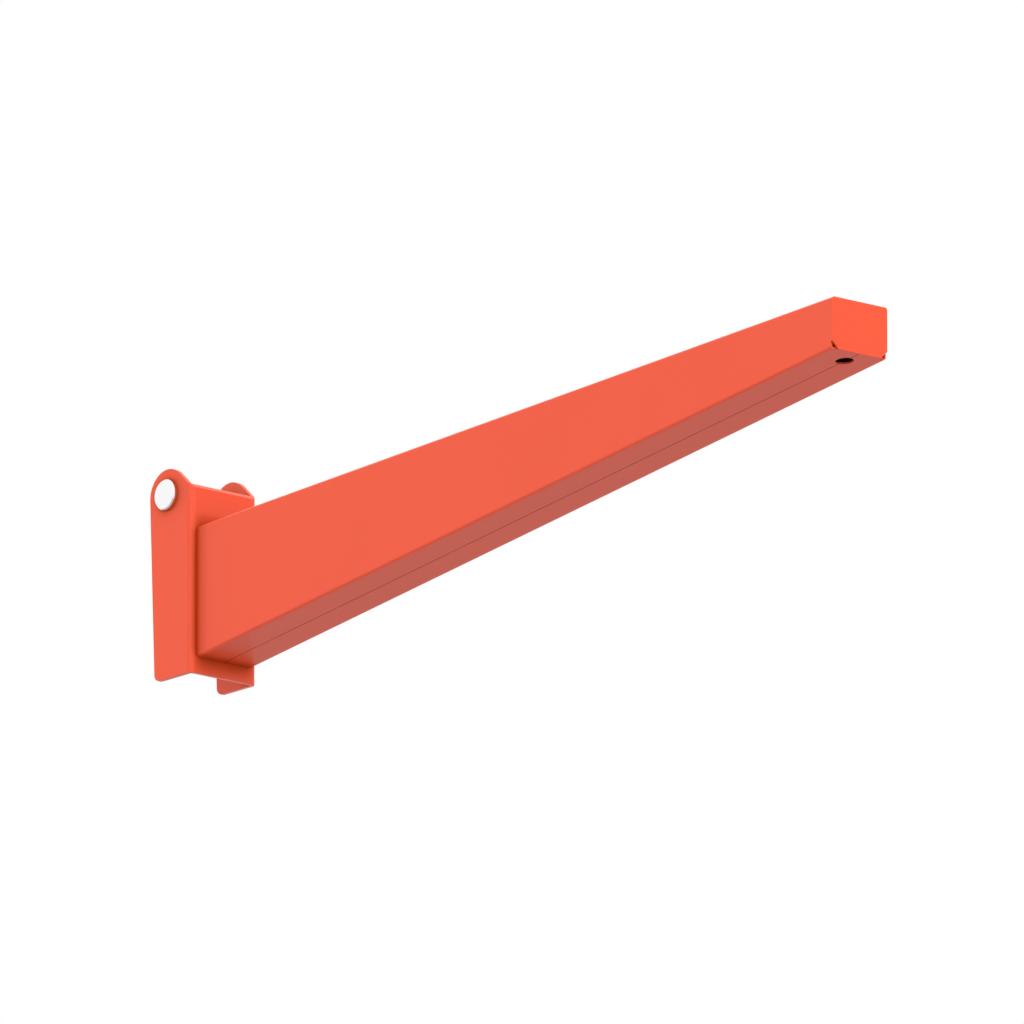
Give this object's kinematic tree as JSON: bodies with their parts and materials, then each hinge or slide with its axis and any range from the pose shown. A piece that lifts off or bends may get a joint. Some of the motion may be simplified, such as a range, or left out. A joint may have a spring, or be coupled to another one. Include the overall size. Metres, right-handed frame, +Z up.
{
  "type": "cantilever rack arm",
  "caption": "Tapered hollow steel arm, inclined upwards, on a folded saddle bracket with domed ears and a headed pin with a spring clip.",
  "frame": {"origin": "centre of the bracket's bearing face, which rests against the rack column", "axes": "+X out along the arm, +Y across it towards the clip's side, +Z up"},
  "size_m": [1.0605, 0.106, 0.2215],
  "materials": {
    "orange_paint": "satin powder coat",
    "zinc_plate": "bright zinc",
    "spring_wire": "bright zinc wire"
  },
  "bodies": {
    "root": {"bracket": "orange_paint", "arm_body": "orange_paint", "end_plate": "orange_paint", "pin": "zinc_plate", "retaining_clip": "spring_wire"}
  },
  "joints": []
}
